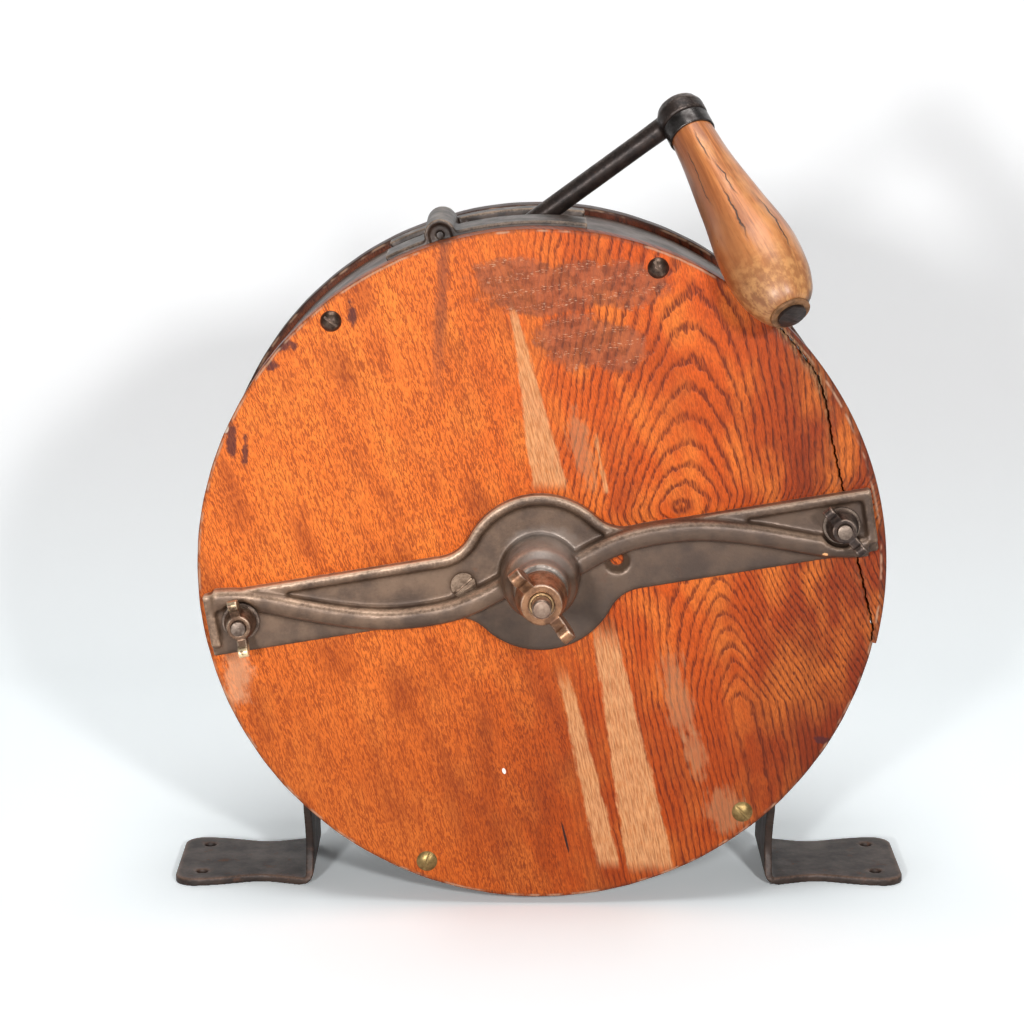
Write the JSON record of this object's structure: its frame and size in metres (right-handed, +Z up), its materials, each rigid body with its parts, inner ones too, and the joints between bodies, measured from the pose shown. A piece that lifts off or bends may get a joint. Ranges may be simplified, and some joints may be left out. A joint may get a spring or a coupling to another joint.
{
  "type": "rotary knife cleaner",
  "caption": "Hand cranked rotary knife cleaner: wood drum on iron feet, ribbed iron bar across its face, guarded slot on top, leather and bristle wheels inside, crank stowed in the slot.",
  "frame": {"origin": "centre of the bounding box at table height", "axes": "+Z up from the feet, +Y along the spindle from the front bar towards the crank's stud at the back, +X to the right seen from the front"},
  "size_m": [0.338, 0.219, 0.364],
  "materials": {
    "front_oak": "old oiled oak, satin, worn and marked",
    "rear_oak": "old oak, satin, darker edge",
    "tinned_sheet": "dull tinned sheet, browned",
    "pine": "plain sawn softwood",
    "dark_screws": "blackened iron, dull",
    "brass_screws": "dull old brass",
    "bar_iron": "black paint over casting, rubbed brown",
    "worn_screw": "worn steel",
    "bolt_steel": "dark worn steel",
    "worn_nut": "dark iron with bright worn wings",
    "dark_nut": "dark cast iron, worn edges",
    "foot_iron": "brown rust over old paint",
    "guard_iron": "dark iron, bright worn edges",
    "spindle_steel": "dull steel",
    "bronze": "dull bronze",
    "wheel_wood": "plain beech",
    "buff_leather": "grey brown buff leather",
    "bristle": "dark stiff bristle",
    "hub_iron": "rough casting",
    "spring_steel": "spring wire",
    "adjuster_iron": "dark casting, bright worn wing tips",
    "bushing_brass": "dull brass",
    "crank_steel": "dark forged steel, polished by handling",
    "grip_wood": "turned hardwood, polished, cracked",
    "ferrule_steel": "bright worn steel"
  },
  "bodies": {
    "drum": {"front_cheek": "front_oak", "front_cheek_strip": "front_oak", "rear_cheek": "rear_oak", "hoop": "tinned_sheet", "upper_blocks": "pine", "lower_blocks": "pine", "iron_edge_screws": "dark_screws", "brass_edge_screws": "brass_screws", "rear_edge_screws": "dark_screws", "front_bar": "bar_iron", "rear_bar": "bar_iron", "bar_screw": "worn_screw", "rear_bar_screws": "worn_screw", "tie_bolts": "bolt_steel", "foot_right": "foot_iron", "foot_left": "foot_iron", "foot_screws": "dark_screws", "slot_guard": "guard_iron", "guard_pin": "guard_iron", "guard_rivets": "guard_iron", "rear_bush": "bronze"},
    "spindle": {"spindle": "spindle_steel", "spindle_collar": "spindle_steel", "collar_pin": "spindle_steel", "rear_buff_board": "wheel_wood", "rear_buff_leather": "buff_leather", "rear_buff_bristle": "bristle", "rear_buff_hub": "hub_iron", "rear_hub_screws": "dark_screws", "pressure_spring": "spring_steel"},
    "front_wheel": {"front_buff_board": "wheel_wood", "front_buff_leather": "buff_leather", "front_buff_bristle": "bristle", "front_buff_hub": "hub_iron", "front_hub_screws": "dark_screws"},
    "thrust_cup": {"thrust_cup": "bronze"},
    "adjuster": {"adjuster": "adjuster_iron", "adjuster_bushing": "bushing_brass"},
    "left_washer": {"left_washer": "bolt_steel"},
    "left_wing_nut": {"left_wing_nut": "worn_nut"},
    "right_washer": {"right_washer": "bolt_steel"},
    "right_wing_nut": {"right_wing_nut": "dark_nut"},
    "crank": {"crank_arm": "crank_steel", "grip_pin": "crank_steel"},
    "grip": {"grip": "grip_wood", "ferrule": "ferrule_steel", "grip_washer": "ferrule_steel"}
  },
  "joints": [
    {"name": "spindle_spin", "type": "hinge", "parent": "drum", "child": "spindle", "pos_m": [0, 0, 0.1556], "axis": [0, 1, 0], "continuous": true},
    {"name": "front_wheel_slide", "type": "slide", "parent": "spindle", "child": "front_wheel", "axis": [0, 1, 0], "range_m": [-0.00414, 0]},
    {"name": "thrust_slide", "type": "slide", "parent": "drum", "child": "thrust_cup", "axis": [0, 1, 0], "range_m": [-0.00414, 0]},
    {"name": "pressure_turn", "type": "hinge", "parent": "thrust_cup", "child": "adjuster", "pos_m": [0, 0, 0.1556], "axis": [0, 1, 0], "range_deg": [-720, 0]},
    {"name": "left_washer_slide", "type": "slide", "parent": "drum", "child": "left_washer", "axis": [0, 1, 0], "range_m": [-0.00254, 0]},
    {"name": "left_nut_turn", "type": "hinge", "parent": "left_washer", "child": "left_wing_nut", "pos_m": [-0.13293, -0.047, 0.13383], "axis": [0, 1, 0], "range_deg": [-720, 0]},
    {"name": "right_washer_slide", "type": "slide", "parent": "drum", "child": "right_washer", "axis": [0, 1, 0], "range_m": [-0.00254, 0]},
    {"name": "right_nut_turn", "type": "hinge", "parent": "right_washer", "child": "right_wing_nut", "pos_m": [0.13293, -0.047, 0.17737], "axis": [0, 1, 0], "range_deg": [-720, 0]},
    {"name": "crank_lift", "type": "slide", "parent": "drum", "child": "crank", "axis": [0.6802, -0.2001, 0.7052], "range_m": [0, 0.2]},
    {"name": "grip_spin", "type": "hinge", "parent": "crank", "child": "grip", "pos_m": [0.0624, 0.0025, 0.3541], "axis": [0.3681, -0.6517, -0.6631], "continuous": true}
  ],
  "couplings": [
    {"joint": "pressure_turn", "follows": "thrust_slide", "rad_per_m": 3030.3},
    {"joint": "front_wheel_slide", "follows": "thrust_slide", "ratio": 1},
    {"joint": "left_washer_slide", "follows": "left_nut_turn", "m_per_rad": 0.0002},
    {"joint": "right_washer_slide", "follows": "right_nut_turn", "m_per_rad": 0.0002}
  ]
}
